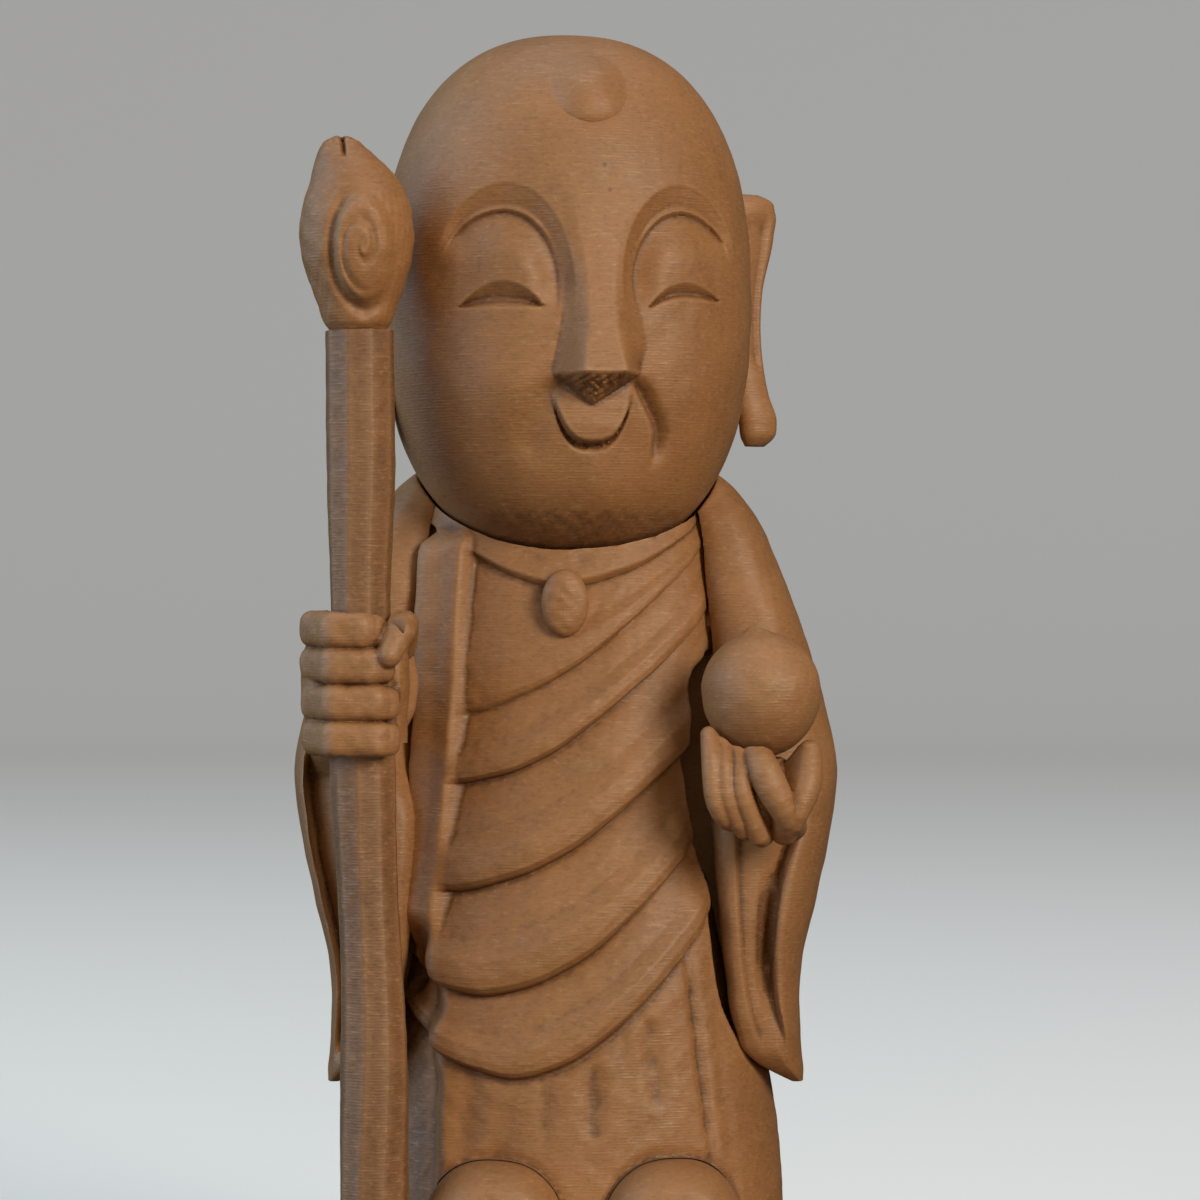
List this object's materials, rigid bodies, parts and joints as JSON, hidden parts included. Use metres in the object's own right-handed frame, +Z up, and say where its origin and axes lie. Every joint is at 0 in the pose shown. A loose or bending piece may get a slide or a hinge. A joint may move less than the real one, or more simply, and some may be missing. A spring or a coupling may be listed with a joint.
{
  "type": "jizo statue",
  "caption": "Standing jizo figure in a folded robe, smiling head with long ears, lift-out staff in the right fist and lift-off jewel on the left hand, on a round lotus seat.",
  "frame": {"origin": "middle of the plinth's flat underside", "axes": "+Z up, the figure faces -Y, +X is its left side"},
  "size_m": [0.0458, 0.0458, 0.0916],
  "materials": {
    "wood_brown": "matt wood brown with fine level lines all round"
  },
  "bodies": {
    "base": {"plinth": "wood_brown", "lotus_seat": "wood_brown", "seat_dowel": "wood_brown"},
    "figure": {"body_front": "wood_brown", "body_back": "wood_brown", "body_dowel_1": "wood_brown", "body_dowel_2": "wood_brown", "body_dowel_3": "wood_brown", "body_dowel_4": "wood_brown", "right_arm": "wood_brown", "right_arm_dowel_1": "wood_brown", "right_arm_dowel_2": "wood_brown", "left_arm": "wood_brown", "left_arm_dowel_1": "wood_brown", "left_arm_dowel_2": "wood_brown", "right_hand": "wood_brown", "right_wrist_dowel": "wood_brown", "left_hand": "wood_brown", "left_wrist_dowel": "wood_brown", "right_foot": "wood_brown", "right_foot_peg": "wood_brown", "left_foot": "wood_brown", "left_foot_peg": "wood_brown", "pendant": "wood_brown"},
    "head": {"head": "wood_brown", "forehead_jewel": "wood_brown", "neck_plug": "wood_brown"},
    "staff": {"staff_shaft": "wood_brown", "staff_finial": "wood_brown"},
    "jewel": {"jewel": "wood_brown", "jewel_peg": "wood_brown"}
  },
  "joints": [
    {"name": "figure_lift", "type": "slide", "parent": "base", "child": "figure", "axis": [0, 0, 1], "range_m": [0, 0.012]},
    {"name": "head_lift", "type": "slide", "parent": "figure", "child": "head", "axis": [0, 0, 1], "range_m": [0, 0.012]},
    {"name": "staff_lift", "type": "slide", "parent": "figure", "child": "staff", "axis": [-0.0175, 0, 0.9998], "range_m": [0, 0.046]},
    {"name": "jewel_lift", "type": "slide", "parent": "figure", "child": "jewel", "axis": [0, 0, 1], "range_m": [0, 0.01]}
  ]
}
